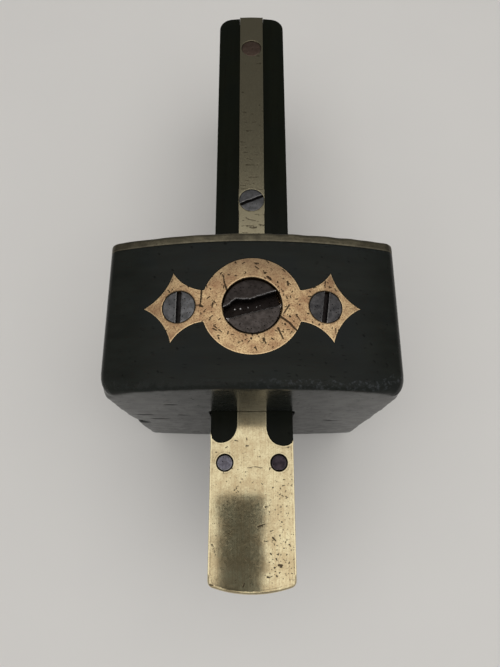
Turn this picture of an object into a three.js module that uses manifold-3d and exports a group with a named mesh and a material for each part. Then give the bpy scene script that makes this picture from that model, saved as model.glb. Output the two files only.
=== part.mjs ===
// Mortise marking gauge in ebony, brass and steel, as an assembly of separate solids.
// Millimetres. +Z is up, +Y runs along the stem from its tail to its marking points, +X is to the right.
// The origin lies under the middle of the whole gauge, at the level that the stock stands on.
import * as THREE from "three";
import { mergeVertices } from "three/addons/utils/BufferGeometryUtils.js";
import Module from "manifold-3d";

const wasm = await Module();
wasm.setup();

// ---- Driving dimensions ----
const STEM = { width: 19.05, length: 159.7, tailBow: 1.7, tailCorner: 1.5, endBow: 1, endCorner: 4 };
const STOCK = { width: 61, side: 60, dome: 5.1, thick: 32.6, corner: 3, arris: 1.2, fromTail: 38.75 };
const FACE = { thick: 1.9, screwX: 22, screwZ: 23 };
const MORTISE = { sideGap: 0.35, heightGap: 0.2 };
const FIT = 0.12; // gap between pieces that touch on the real gauge
const PAST = 1; // how far a cutter runs past the face that it opens

const STRAP = { thick: 2, width: 6.9, overhang: 0.45, wideLength: 31.35 };
// Round-ended tongues of ebony beside the narrow strap; the pulls and the lift shape their curves.
const FINGER = { x: 7, rise: 4.2, edgeRise: 3, outerPull: 0.3, innerPull: 0.4, innerLift: 0.2 };
const TAIL_PIN = { dia: 3.6, x: 6.15, fromTail: 27.15, deep: 12 };
const STRAP_SCREW_FROM_TAIL = 95.45;
const WOOD_SCREW = { headDia: 6.7, shank: 3.4, tip: 0.5, taper: 4, slot: 1, slotDeep: 0.9 };
const FACE_SCREW = { headDia: 4.6, shank: 2.3, tip: 0.4, taper: 3, slot: 0.7, slotDeep: 0.5 };
const SCREW_LENGTH = { strap: 13, escutcheon: 17, face: 9 };
const HEAD_RIM = 0.3; // upright edge of a countersunk head
const SLOT_TURN = { strap: 24, left: 90, right: 82, face: 40 }; // degrees

const ESCUTCHEON = {
  ring: 10.2, thick: 4.2, neck: 3.3, tipX: 21.8, cuspX: 16, cuspY: 7.4,
  neckSag: 0.9, tipSag: 1, screwX: 14.66, bossDia: 16, bossDeep: 8,
};
const CLAMP = {
  dia: 11.5, fromNear: 16.75, sunk: 0.5, ease: 0.5, slot: 2.4, slotDeep: 2.2, slotTurn: 15, spigot: 5,
};
const SHOE = { x: 15, y: 12, thick: 3.4, socketDeep: 1.6, lift: 2.3 };

const SLIDE = { mouth: 7.4, base: 9.2, lip: 1, deep: 5.2, fromTail: 2.2 };
const NICK = { radius: 4, deep: 1, fromTail: 9 }; // hollow for a fingernail near the slide's tail
const POINT = { dia: 2.4, below: 4.2, cone: 3.4, tip: 0.15, deep: 4.2, fromEdge: 1.6 };
const FIXED_POINT = { headDia: 5.8, fromEnd: 12.2 };

// Facets of the curves. The dome's number is odd, so that the foot has a flat facet in the middle.
const FACETS = {
  dome: 15, bow: 8, tailBow: 10, corner: 6, endCorner: 6, sag: 8, arris: 3, ring: 12, turn: 28, clamp: 48,
};

// ---- Places that follow from them ----
const half = STEM.width / 2;
const stockTop = STOCK.side + 2 * STOCK.dome;
const axisZ = stockTop / 2;
const stemTop = axisZ + half;
const stemFoot = axisZ - half;
const tailY = -STEM.length / 2;
const endY = STEM.length / 2;
const woodEndY = endY - STRAP.overhang;
const nearY = tailY + STOCK.fromTail;
const workY = nearY + STOCK.thick;
const plateY = workY - FACE.thick;
const clampY = nearY + CLAMP.fromNear;
const domeRadius = ((STOCK.width / 2) ** 2 + STOCK.dome ** 2) / (2 * STOCK.dome);
const escutcheonFloor = stockTop - ESCUTCHEON.thick;
const shoeFoot = stemTop + FIT;
const shoeTop = shoeFoot + SHOE.thick;
const strapScrewY = tailY + STRAP_SCREW_FROM_TAIL;
const tailPinY = tailY + TAIL_PIN.fromTail;
const fixedPointY = endY - FIXED_POINT.fromEnd;
const keeperY = fixedPointY - POINT.fromEdge;
const slideEndY = keeperY - FIT;
const movingPointY = slideEndY - POINT.fromEdge;

// Height of the stock's domed top at distance x from its middle.
const domeZ = (x) => stockTop - domeRadius + Math.sqrt(domeRadius ** 2 - x ** 2);

// ---- Materials ----
const ebony = new THREE.MeshStandardMaterial({ color: 0x17150f, roughness: 0.3, metalness: 0 });
const brass = new THREE.MeshStandardMaterial({ color: 0xb9985c, roughness: 0.35, metalness: 1 });
const darkSteel = new THREE.MeshStandardMaterial({ color: 0x4a4440, roughness: 0.45, metalness: 1 });
const paleSteel = new THREE.MeshStandardMaterial({ color: 0x6a6864, roughness: 0.4, metalness: 1 });

// ---- Outlines ----
const v = (x, y) => new THREE.Vector2(x, y);

function arc(x, y, radius, from, to, steps) {
  const points = [];
  for (let i = 0; i <= steps; i++) {
    const angle = from + ((to - from) * i) / steps;
    points.push(v(x + radius * Math.cos(angle), y + radius * Math.sin(angle)));
  }
  return points;
}

// The arc from a to b that bows by sag to the left of the way from a to b, without its first point.
function sagArc(a, b, sag) {
  const chord = v(b.x - a.x, b.y - a.y);
  const span = chord.length();
  const radius = (span * span) / (8 * sag) + sag / 2;
  const towardsCentre = (sag - radius) / span;
  const x = (a.x + b.x) / 2 - chord.y * towardsCentre;
  const y = (a.y + b.y) / 2 + chord.x * towardsCentre;
  const from = Math.atan2(a.y - y, a.x - x);
  return arc(x, y, radius, from, from - 2 * Math.asin(span / (2 * radius)), FACETS.sag).slice(1);
}

// A bowed end with rounded corners, from its right side to its left, crowned at (0, 0) and facing +y.
function bowedEnd(halfWidth, bow, corner, bowSteps, cornerSteps) {
  const radius = (halfWidth ** 2 + bow ** 2) / (2 * bow);
  const x = halfWidth - corner;
  const y = Math.sqrt((radius - corner) ** 2 - x ** 2) - radius;
  const angle = Math.atan2(y + radius, x);
  return [
    ...arc(x, y, corner, 0, angle, cornerSteps),
    ...arc(0, -radius, radius, angle, Math.PI - angle, bowSteps).slice(1),
    ...arc(-x, y, corner, Math.PI - angle, Math.PI, cornerSteps).slice(1),
  ];
}

const shifted = (points, y) => points.map((p) => v(p.x, p.y + y));
const turnedRound = (points) => points.map((p) => v(-p.x, -p.y));

// The stock across the stem: straight sides between a domed top and a domed foot.
function stockOutline() {
  const end = bowedEnd(STOCK.width / 2, STOCK.dome, STOCK.corner, FACETS.dome, FACETS.corner);
  return new THREE.Shape([...shifted(end, stockTop), ...turnedRound(end)]);
}

// The stem in plan, as far as farY, with a bowed tail and a well rounded far end.
function stemPlan(farY) {
  const end = bowedEnd(half, STEM.endBow, STEM.endCorner, FACETS.bow, FACETS.endCorner);
  const tail = bowedEnd(half, STEM.tailBow, STEM.tailCorner, FACETS.tailBow, FACETS.corner);
  return new THREE.Shape([...shifted(end, farY), ...shifted(turnedRound(tail), tailY)]);
}

// The strap in plan: as wide as the stem at the tail, then narrow between two tongues of ebony.
function strapPlan(grow = 0) {
  const wide = tailY + STRAP.wideLength + grow;
  const strip = STRAP.width / 2 + grow;
  const side = half + PAST;
  const outer = new THREE.QuadraticBezierCurve(
    v(side, wide + FINGER.edgeRise + PAST), v(half - FINGER.outerPull, wide), v(FINGER.x, wide),
  );
  const inner = new THREE.QuadraticBezierCurve(
    v(FINGER.x, wide), v(strip + FINGER.innerPull, wide + FINGER.innerLift), v(strip, wide + FINGER.rise),
  );
  const right = [
    v(side, tailY - PAST), ...outer.getPoints(FACETS.sag), ...inner.getPoints(FACETS.sag).slice(1),
    v(strip, endY + PAST),
  ];
  const left = right.map((p) => v(-p.x, p.y)).reverse();
  return new THREE.Shape([...right, ...left]);
}

// The escutcheon in plan: a ring with a four-pointed wing at each hand.
function escutcheonPlan(grow = 0) {
  const ring = ESCUTCHEON.ring + grow;
  const neck = ESCUTCHEON.neck + grow;
  const neckX = Math.sqrt(ring ** 2 - neck ** 2);
  const tip = v(ESCUTCHEON.tipX + 2 * grow, 0);
  const cusp = v(ESCUTCHEON.cuspX, ESCUTCHEON.cuspY + 2 * grow);
  const quarter = [
    tip,
    ...sagArc(tip, cusp, ESCUTCHEON.tipSag),
    ...sagArc(cusp, v(neckX, neck), ESCUTCHEON.neckSag),
    ...arc(0, 0, ring, Math.atan2(neck, neckX), Math.PI / 2, FACETS.ring).slice(1),
  ];
  const upper = [...quarter, ...quarter.slice(0, -1).map((p) => v(-p.x, p.y)).reverse()];
  const lower = turnedRound(upper).slice(1, -1);
  return new THREE.Shape(shifted([...upper, ...lower], clampY));
}

// ---- Solids ----
function solid(geometry) {
  const bare = geometry.clone();
  bare.deleteAttribute("normal");
  bare.deleteAttribute("uv");
  const merged = mergeVertices(bare, 1e-4);
  const corners = merged.index.array;
  const triangles = [];
  for (let i = 0; i < corners.length; i += 3) {
    const [a, b, c] = [corners[i], corners[i + 1], corners[i + 2]];
    if (a !== b && b !== c && c !== a) triangles.push(a, b, c);
  }
  const vertProperties = new Float32Array(merged.attributes.position.array);
  const triVerts = new Uint32Array(triangles);
  return new wasm.Manifold(new wasm.Mesh({ numProp: 3, vertProperties, triVerts }));
}

function geometryOf(manifold) {
  const mesh = manifold.getMesh();
  const geometry = new THREE.BufferGeometry();
  geometry.setAttribute("position", new THREE.BufferAttribute(new Float32Array(mesh.vertProperties), 3));
  geometry.setIndex(new THREE.BufferAttribute(new Uint32Array(mesh.triVerts), 1));
  geometry.computeVertexNormals();
  return geometry;
}

const cut = (body, ...tools) => tools.reduce((rest, tool) => rest.subtract(tool), body);

// A box between its lowest and its highest corner.
function block(x0, x1, y0, y1, z0, z1) {
  const geometry = new THREE.BoxGeometry(x1 - x0, y1 - y0, z1 - z0);
  geometry.translate((x0 + x1) / 2, (y0 + y1) / 2, (z0 + z1) / 2);
  return solid(geometry);
}

// A plan outline (x, y) raised from z0 to z1.
function raised(plan, z0, z1) {
  const geometry = new THREE.ExtrudeGeometry(plan, { depth: z1 - z0, bevelEnabled: false });
  geometry.translate(0, 0, z0);
  return solid(geometry);
}

// A cross outline (x, z) run along the stem from y0 to y1; arris rounds the edges of both ends.
function runAlong(outline, y0, y1, arris = 0) {
  const geometry = new THREE.ExtrudeGeometry(outline, {
    depth: y1 - y0 - 2 * arris,
    bevelEnabled: arris > 0,
    bevelThickness: arris,
    bevelSize: arris,
    bevelOffset: -arris,
    bevelSegments: FACETS.arris,
  });
  geometry.rotateX(Math.PI / 2);
  geometry.translate(0, y1 - arris, 0);
  return solid(geometry);
}

// A turned piece about +Z: profile holds [radius, z] from its foot to its top, both on the axis.
function lathe(profile, sides = FACETS.turn) {
  const geometry = new THREE.LatheGeometry(profile.map(([r, z]) => v(r, z)), sides);
  geometry.rotateX(Math.PI / 2);
  return geometry;
}

const turned = (profile, x, y, z, sides) => solid(lathe(profile, sides).translate(x, y, z));
const rod = (radius, x, y, z0, z1, sides) =>
  turned([[0, 0], [radius, 0], [radius, z1 - z0], [0, z1 - z0]], x, y, z0, sides);

function piece(name, manifold, material) {
  const mesh = new THREE.Mesh(geometryOf(manifold), material);
  mesh.name = name;
  return mesh;
}

// ---- Slotted countersunk screws, made along +Z with the head's top at z = 0, then put in place ----
function screwProfile(size, length) {
  const head = size.headDia / 2;
  const shank = size.shank / 2;
  return [
    [0, -length], [size.tip, -length], [shank, size.taper - length], [shank, shank - head - HEAD_RIM],
    [head, -HEAD_RIM], [head, 0], [0, 0],
  ];
}

function screwHole(size, length, place) {
  const wider = { headDia: size.headDia + 2 * FIT, shank: size.shank + 2 * FIT, tip: size.tip + FIT };
  const roomy = { ...size, ...wider };
  const profile = screwProfile(roomy, length + FIT);
  const opened = [...profile.slice(0, -2), [roomy.headDia / 2, PAST], [0, PAST]];
  return solid(place(lathe(opened)));
}

function slottedScrew(size, length, slotTurn, place) {
  const slot = new THREE.BoxGeometry(size.headDia + PAST, size.slot, 2 * size.slotDeep);
  slot.rotateZ(THREE.MathUtils.degToRad(slotTurn));
  return cut(solid(place(lathe(screwProfile(size, length)))), solid(place(slot)));
}

const onStrap = (geometry) => geometry.translate(0, strapScrewY, stemTop);
const onFace = (side, level) => (geometry) =>
  geometry.rotateX(-Math.PI / 2).translate(side * FACE.screwX, workY, axisZ + level * FACE.screwZ);
const onDome = (side) => (geometry) => {
  const lean = side * Math.asin(ESCUTCHEON.screwX / domeRadius);
  return geometry.rotateY(lean).translate(side * ESCUTCHEON.screwX, clampY, domeZ(ESCUTCHEON.screwX));
};

const faceCorners = [-1, 1].flatMap((side) => [-1, 1].map((level) => ({ side, level })));
const faceHoles = () =>
  faceCorners.map(({ side, level }) => screwHole(FACE_SCREW, SCREW_LENGTH.face, onFace(side, level)));
const escutcheonHoles = () =>
  [-1, 1].map((side) => screwHole(WOOD_SCREW, SCREW_LENGTH.escutcheon, onDome(side)));
const strapHole = () => screwHole(WOOD_SCREW, SCREW_LENGTH.strap, onStrap);

// ---- Stock: ebony block, brass face plate, escutcheon ----

// The square way through the stock for the stem.
function mortise() {
  const x = half + MORTISE.sideGap;
  const z = half + MORTISE.heightGap;
  return block(-x, x, nearY - PAST, workY + PAST, axisZ - z, axisZ + z);
}

function stockBlock() {
  const body = runAlong(stockOutline(), nearY, workY + STOCK.arris, STOCK.arris);
  const plateRoom = block(
    -STOCK.width, STOCK.width, plateY - FIT / 2, workY + 2 * STOCK.arris, -PAST, stockTop + PAST,
  );
  const bed = raised(escutcheonPlan(FIT), escutcheonFloor - FIT, stockTop + PAST);
  const bossFoot = escutcheonFloor - ESCUTCHEON.bossDeep;
  const bossBore = rod(ESCUTCHEON.bossDia / 2 + FIT, 0, clampY, bossFoot - FIT, stockTop);
  const clampBore = rod(CLAMP.dia / 2 + 2 * FIT, 0, clampY, stemTop, stockTop);
  const x = SHOE.x / 2 + FIT;
  const y = SHOE.y / 2 + FIT;
  const shoePocket = block(-x, x, clampY - y, clampY + y, stemTop, shoeTop + SHOE.lift);
  return cut(
    body, plateRoom, mortise(), bed, bossBore, clampBore, shoePocket, ...escutcheonHoles(), ...faceHoles(),
  );
}

function facePlate() {
  const plate = runAlong(stockOutline(), plateY + FIT / 2, workY);
  return cut(plate, mortise(), ...faceHoles());
}

// Its top follows the dome, and a boss under it holds the clamp screw's thread.
function escutcheon() {
  const tall = raised(escutcheonPlan(), escutcheonFloor, stockTop + PAST);
  const dome = runAlong(stockOutline(), nearY - PAST, workY + PAST);
  const bossFoot = escutcheonFloor - ESCUTCHEON.bossDeep;
  const boss = rod(ESCUTCHEON.bossDia / 2, 0, clampY, bossFoot, escutcheonFloor + PAST);
  const bore = rod(CLAMP.dia / 2 + FIT, 0, clampY, stemTop, stockTop + PAST, FACETS.clamp);
  return cut(tall.intersect(dome).add(boss), bore, ...escutcheonHoles());
}

// ---- Clamp: a slotted screw, and the shoe on its spigot that presses on the strap ----
function clampScrew() {
  const radius = CLAMP.dia / 2;
  const ease = CLAMP.ease;
  const foot = shoeTop - SHOE.socketDeep + FIT;
  const shoulder = shoeTop + FIT - foot;
  const tall = stockTop - CLAMP.sunk - foot;
  const body = turned(
    [
      [0, 0], [CLAMP.spigot / 2, 0], [CLAMP.spigot / 2, shoulder], [radius - ease, shoulder],
      [radius, shoulder + ease], [radius, tall - ease], [radius - ease, tall], [0, tall],
    ],
    0, clampY, foot, FACETS.clamp,
  );
  const slot = new THREE.BoxGeometry(2 * CLAMP.dia, CLAMP.slot, 2 * CLAMP.slotDeep);
  slot.rotateZ(THREE.MathUtils.degToRad(CLAMP.slotTurn)).translate(0, clampY, foot + tall);
  return cut(body, solid(slot));
}

function pressureShoe() {
  const x = SHOE.x / 2;
  const y = SHOE.y / 2;
  const socket = rod(CLAMP.spigot / 2 + FIT, 0, clampY, shoeTop - SHOE.socketDeep, shoeTop + PAST);
  return cut(block(-x, x, clampY - y, clampY + y, shoeFoot, shoeTop), socket);
}

// ---- Stem: ebony bar, brass wear strap, pins, and the fixed point in its keeper ----

// The dovetailed way under the stem, or, with a gap, the bar that slides in it.
function dovetail(y0, y1, gap = 0) {
  const mouth = SLIDE.mouth / 2 - gap;
  const base = SLIDE.base / 2 - gap;
  const foot = gap > 0 ? stemFoot : stemFoot - PAST;
  const lip = stemFoot + SLIDE.lip;
  const roof = stemFoot + SLIDE.deep - gap;
  const outline = new THREE.Shape([
    v(-mouth, foot), v(mouth, foot), v(mouth, lip), v(base, roof), v(-base, roof), v(-mouth, lip),
  ]);
  return runAlong(outline, y0, y1);
}

function tailPin(side, gap = 0) {
  const foot = stemTop - TAIL_PIN.deep - gap;
  const top = gap > 0 ? stemTop + PAST : stemTop;
  return rod(TAIL_PIN.dia / 2 + gap, side * TAIL_PIN.x, tailPinY, foot, top);
}

// A steel pin right through the stem: a flush head in the strap, and a marking point under the keeper.
function fixedPoint(gap = 0) {
  const head = FIXED_POINT.headDia / 2 + gap;
  const shank = POINT.dia / 2 + gap;
  const tip = gap > 0 ? shank : POINT.tip;
  const tall = POINT.below + STEM.width;
  const top = gap > 0 ? tall + PAST : tall;
  const profile = [
    [0, 0], [tip, 0], [shank, POINT.cone], [shank, tall - HEAD_RIM - head + shank],
    [head, tall - HEAD_RIM], [head, top], [0, top],
  ];
  return turned(profile, 0, fixedPointY, stemFoot - POINT.below);
}

function movingPoint(gap = 0) {
  const shank = POINT.dia / 2 + gap;
  const tip = gap > 0 ? shank : POINT.tip;
  const tall = POINT.below + POINT.deep + gap;
  const profile = [[0, 0], [tip, 0], [shank, POINT.cone], [shank, tall], [0, tall]];
  return turned(profile, 0, movingPointY, stemFoot - POINT.below);
}

const tailPinHoles = () => [-1, 1].map((side) => tailPin(side, FIT));

function stemBar() {
  const bar = raised(stemPlan(woodEndY), stemFoot, stemTop);
  const bed = raised(strapPlan(FIT), stemTop - STRAP.thick - FIT, stemTop + PAST);
  const way = dovetail(tailY - PAST, endY + PAST);
  return cut(bar, bed, way, strapHole(), ...tailPinHoles(), fixedPoint(FIT));
}

function wearStrap() {
  const height = [stemTop - STRAP.thick, stemTop];
  const strap = raised(strapPlan(), ...height).intersect(raised(stemPlan(endY), ...height));
  return cut(strap, strapHole(), ...tailPinHoles(), fixedPoint(FIT));
}

// The brass key that closes the far end of the dovetailed way.
function pointKeeper() {
  const key = dovetail(keeperY, endY, FIT).intersect(raised(stemPlan(woodEndY), stemFoot, stemTop));
  return cut(key, fixedPoint(FIT));
}

// ---- Slide: the dovetailed bar that carries the moving point ----
function mortiseSlide() {
  const nick = new THREE.CylinderGeometry(NICK.radius, NICK.radius, STEM.width, FACETS.turn);
  nick.rotateZ(Math.PI / 2);
  nick.translate(0, tailY + NICK.fromTail, stemFoot - NICK.radius + NICK.deep);
  return cut(dovetail(tailY + SLIDE.fromTail, slideEndY, FIT), solid(nick), movingPoint(FIT));
}

// ---- Assembly ----
const gauge = new THREE.Group();
gauge.add(
  piece("stock_block", stockBlock(), ebony),
  piece("face_plate", facePlate(), brass),
  piece("clamp_escutcheon", escutcheon(), brass),
  piece("clamp_screw", clampScrew(), darkSteel),
  piece("pressure_shoe", pressureShoe(), brass),
  piece("stem_bar", stemBar(), ebony),
  piece("wear_strap", wearStrap(), brass),
  piece("strap_screw", slottedScrew(WOOD_SCREW, SCREW_LENGTH.strap, SLOT_TURN.strap, onStrap), paleSteel),
  piece("fixed_point", fixedPoint(), darkSteel),
  piece("point_keeper", pointKeeper(), brass),
  piece("mortise_slide", mortiseSlide(), brass),
  piece("moving_point", movingPoint(), darkSteel),
);
for (const [side, hand] of [[-1, "left"], [1, "right"]]) {
  const screw = slottedScrew(WOOD_SCREW, SCREW_LENGTH.escutcheon, SLOT_TURN[hand], onDome(side));
  gauge.add(piece("escutcheon_screw_" + hand, screw, paleSteel));
  gauge.add(piece("tail_pin_" + hand, tailPin(side), darkSteel));
}
for (const { side, level } of faceCorners) {
  const name = "face_screw_" + (level < 0 ? "lower" : "upper") + (side < 0 ? "_left" : "_right");
  const slotTurn = SLOT_TURN.face * side * level;
  const screw = slottedScrew(FACE_SCREW, SCREW_LENGTH.face, slotTurn, onFace(side, level));
  gauge.add(piece(name, screw, brass));
}

export default gauge;
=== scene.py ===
"""Looks for the mortise marking gauge: ebony, brass and steel. Lengths in the helpers are millimetres."""

import math

import bpy
import numpy as np
from mathutils import Matrix, Vector
from mathutils.geometry import delaunay_2d_cdt


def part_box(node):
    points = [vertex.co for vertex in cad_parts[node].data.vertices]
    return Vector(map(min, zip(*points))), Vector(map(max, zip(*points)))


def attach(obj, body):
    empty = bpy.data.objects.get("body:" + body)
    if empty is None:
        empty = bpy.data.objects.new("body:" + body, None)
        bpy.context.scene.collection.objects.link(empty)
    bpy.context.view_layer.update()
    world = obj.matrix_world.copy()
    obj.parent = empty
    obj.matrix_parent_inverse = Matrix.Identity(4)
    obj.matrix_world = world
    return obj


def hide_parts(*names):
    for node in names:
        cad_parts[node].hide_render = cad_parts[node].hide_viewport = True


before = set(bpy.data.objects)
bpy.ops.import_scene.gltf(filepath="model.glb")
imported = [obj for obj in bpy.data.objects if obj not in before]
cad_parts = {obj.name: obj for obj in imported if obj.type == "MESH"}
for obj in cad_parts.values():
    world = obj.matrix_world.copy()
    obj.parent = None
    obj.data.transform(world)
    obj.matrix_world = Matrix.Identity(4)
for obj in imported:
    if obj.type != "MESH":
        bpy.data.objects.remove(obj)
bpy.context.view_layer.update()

MM = 0.001
PI = math.pi
GAP = 0.05
INSIDE = 0.02  # how far the outermost surfaces stay inside the CAD box


def box(node):
    """A CAD node's lowest and highest corner, in millimetres."""
    low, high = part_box(node)
    return Vector(low) / MM, Vector(high) / MM


# ---- Places, from the CAD nodes ----
stock_low, stock_high = box("stock_block")
plate_low, plate_high = box("face_plate")
bar_low, bar_high = box("stem_bar")
strap_low, strap_high = box("wear_strap")
ring_high = box("clamp_escutcheon")[1]
clamp_low, clamp_high = box("clamp_screw")
shoe_low, shoe_high = box("pressure_shoe")
strap_screw_low, strap_screw_high = box("strap_screw")
fixed_low, fixed_high = box("fixed_point")
keeper_low = box("point_keeper")[0]
slide_low, slide_high = box("mortise_slide")
moving_low, moving_high = box("moving_point")

stock_half = (stock_high.x - stock_low.x) / 2
stock_top = stock_high.z - INSIDE
axis_z = (bar_low.z + bar_high.z) / 2
bar_half = (bar_high.x - bar_low.x) / 2
bar_top = bar_high.z
clamp_y = (clamp_low.y + clamp_high.y) / 2
strap_screw_y = (strap_screw_low.y + strap_screw_high.y) / 2
fixed_y = (fixed_low.y + fixed_high.y) / 2
moving_y = (moving_low.y + moving_high.y) / 2

DOME = 5.1
DOME_RADIUS = (stock_half**2 + DOME**2) / (2 * DOME)
MORTISE_X = bar_half + 0.35
MORTISE_Z = bar_half + 0.2


def dome_drop(x):
    """How far the domed top lies under its crown at distance x from the middle."""
    return DOME_RADIUS - np.sqrt(DOME_RADIUS**2 - np.asarray(x, float) ** 2)


# ---- Noise and marks for the shapes ----
def wave(count, seed, low=2, high=9):
    """A smooth random ring of numbers around 0, about 1 in size."""
    rng = np.random.default_rng(seed)
    t = np.linspace(0, 2 * PI, count, endpoint=False)
    total = np.zeros(count)
    for k in range(low, high):
        total += rng.normal() * np.sin(k * t + rng.uniform(0, 2 * PI)) / math.sqrt(high - low)
    return total


def lumps(points, size, seed):
    """Smooth random heights around 0, about 1 in size, at points (n, 2)."""
    rng = np.random.default_rng(seed)
    total = np.zeros(len(points))
    for _ in range(8):
        angle, phase = rng.uniform(0, 2 * PI, 2)
        pitch = size * rng.uniform(0.6, 1.8)
        along = points[:, 0] * math.cos(angle) + points[:, 1] * math.sin(angle)
        total += np.sin(along * 2 * PI / pitch + phase) / math.sqrt(8)
    return total


def grooves(points, marks):
    """Depth and dirt of straight marks (x0, y0, x1, y1, width, depth) at points (n, 2)."""
    depth = np.zeros(len(points))
    dirt_and_shade = np.zeros(len(points))
    for x0, y0, x1, y1, width, deep in marks:
        a, d = np.array([x0, y0]), np.array([x1 - x0, y1 - y0])
        t = np.clip(((points - a) @ d) / max(d @ d, 1e-9), 0, 1)
        away = np.linalg.norm(points - a - t[:, None] * d, axis=1)
        share = np.clip(1.7 - away / (width * (0.8 - 0.3 * t)), 0, 1)
        depth = np.maximum(depth, deep * share)
        dirt_and_shade = np.maximum(dirt_and_shade, share)
    return depth, dirt_and_shade


# ---- Outlines, (n, 2) arrays; outer ones anticlockwise, holes clockwise ----
def arc(x, y, radius, start, end, steps):
    angles = np.linspace(start, end, steps + 1)
    return np.stack([x + radius * np.cos(angles), y + radius * np.sin(angles)], 1)


def circle(x, y, radius, steps):
    return arc(x, y, radius, 0, 2 * PI, steps)[:-1]


def line(a, b, steps):
    """Points from a towards b, without b."""
    t = np.linspace(0, 1, steps, endpoint=False)[:, None]
    return np.array(a) * (1 - t) + np.array(b) * t


def sag_arc(a, b, sag, steps):
    """The arc from a to b that bows by sag to the left of the way from a to b, without b."""
    a, b = np.array(a, float), np.array(b, float)
    chord = b - a
    span = np.linalg.norm(chord)
    radius = span**2 / (8 * sag) + sag / 2
    left = np.array([-chord[1], chord[0]]) / span
    centre = (a + b) / 2 + left * (sag - radius)
    start = math.atan2(a[1] - centre[1], a[0] - centre[0])
    return arc(*centre, radius, start, start - 2 * math.asin(span / (2 * radius)), steps)[:-1]


def bowed_end(half, bow, corner, bow_steps, corner_steps):
    """A bowed end with rounded corners, from its right side to its left, crowned at (0, 0)."""
    radius = (half**2 + bow**2) / (2 * bow)
    x = half - corner
    y = math.sqrt((radius - corner) ** 2 - x**2) - radius
    angle = math.atan2(y + radius, x)
    return np.concatenate([
        arc(x, y, corner, 0, angle, corner_steps),
        arc(0, -radius, radius, angle, PI - angle, bow_steps)[1:],
        arc(-x, y, corner, PI - angle, PI, corner_steps)[1:],
    ])


def evened(loop, step):
    """The closed loop with points added so that none lie further apart than step."""
    parts = []
    for a, b in zip(loop, np.roll(loop, -1, 0)):
        parts.append(line(a, b, max(1, math.ceil(np.linalg.norm(b - a) / step))))
    return np.concatenate(parts)


def stock_outline(step):
    end = bowed_end(stock_half - INSIDE, DOME, 3.0, 60, 8)
    upper = end + [0, stock_top - axis_z]
    return evened(np.concatenate([upper, -upper]), step)


def square(half_x, half_y, step):
    corners = np.array([[half_x, half_y], [half_x, -half_y], [-half_x, -half_y], [-half_x, half_y]])
    return evened(corners, step)


def stem_plan(step):
    half = bar_half - INSIDE
    end = bowed_end(half, 1, 4, 20, 12) + [0, bar_high.y - INSIDE]
    tail = -bowed_end(half, 1.7, 1.5, 20, 8) + [0, bar_low.y + INSIDE]
    return evened(np.concatenate([end, tail]), step)


FINGERS = {-1: (7.1, 0.35, 2.35), 1: (7.15, -0.35, 1.35)}  # x of the lowest point, shift, rise at the edge
STRIP_HALF = 3.45
FINGER_Y = bar_low.y + 31.35


def bezier(a, b, c, steps):
    t = np.linspace(0, 1, steps, endpoint=False)[:, None]
    a, b, c = (np.array(p, float) for p in (a, b, c))
    return a * (1 - t) ** 2 + 2 * b * t * (1 - t) + c * t**2


def finger_line(side, grow, side_x):
    """The strap's edge round one ebony tongue, from side_x to the narrow strip."""
    x, shift, rise = FINGERS[side]
    y = FINGER_Y + shift + grow
    strip = STRIP_HALF + grow
    outer = bezier((side_x, y + rise), (bar_half - 0.5, y), (x, y), 10)
    inner = bezier((x, y), (strip + 0.4, y + 0.2), (strip, y + 4.2), 14)
    return np.concatenate([outer, inner, [[strip, y + 4.2]]])


def strap_plan(grow=0.0, past=0.0, step=0.45):
    """The strap: as wide as the stem at the tail, then narrow between two tongues of ebony."""
    side_x = bar_half + past - INSIDE
    right = finger_line(1, grow, side_x)
    left = finger_line(-1, grow, side_x)[::-1] * [-1, 1]
    far = strap_high.y + past - INSIDE
    bow = 0.13
    tip = [[STRIP_HALF + grow, far - bow], [1.7, far - bow / 4], [0, far], [-1.7, far - bow / 4],
           [-STRIP_HALF - grow, far - bow]]
    if past:
        low = bar_low.y - past
        tail = [[-side_x, low], [side_x, low]]
    else:
        tail = -bowed_end(side_x, 1.7, 1.5, 20, 8) + [0, bar_low.y + INSIDE]
    return evened(np.concatenate([right, tip, left, tail]), step)


def escutcheon_plan(grow=0.0):
    """A ring with a four-pointed wing at each hand, about (0, 0)."""
    ring = 10.15 + grow
    neck = 3.3 + grow
    neck_x = math.sqrt(ring**2 - neck**2)
    tip = (ring_high.x - INSIDE + 2 * grow, 0)
    cusp = (16, 7.4 + 2 * grow)
    quarter = np.concatenate([
        sag_arc(tip, cusp, 1.0, 14),
        sag_arc(cusp, (neck_x, neck), 0.9, 14),
        arc(0, 0, ring, math.atan2(neck, neck_x), PI / 2, 34),
    ])
    upper = np.concatenate([quarter, (quarter[:-1] * [-1, 1])[::-1]])
    return evened(np.concatenate([upper, -upper[1:-1]]), 0.3)


# ---- Meshes: (verts (n, 3), faces, rim (n,), dirt (n,)); rim is the distance to the nearest edge, dirt is dirt and painted shade ----
def offset(loop, distance):
    """The loop moved by distance towards its left, where the material is."""
    ahead = np.roll(loop, -1, 0) - loop
    ahead /= np.linalg.norm(ahead, axis=1)[:, None]
    normal = np.stack([-ahead[:, 1], ahead[:, 0]], 1)
    bisector = normal + np.roll(normal, 1, 0)
    bisector /= np.linalg.norm(bisector, axis=1)[:, None]
    spread = np.maximum(0.5, (bisector * normal).sum(1))
    return loop + bisector * (np.broadcast_to(distance, len(loop)) / spread)[:, None]


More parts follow.
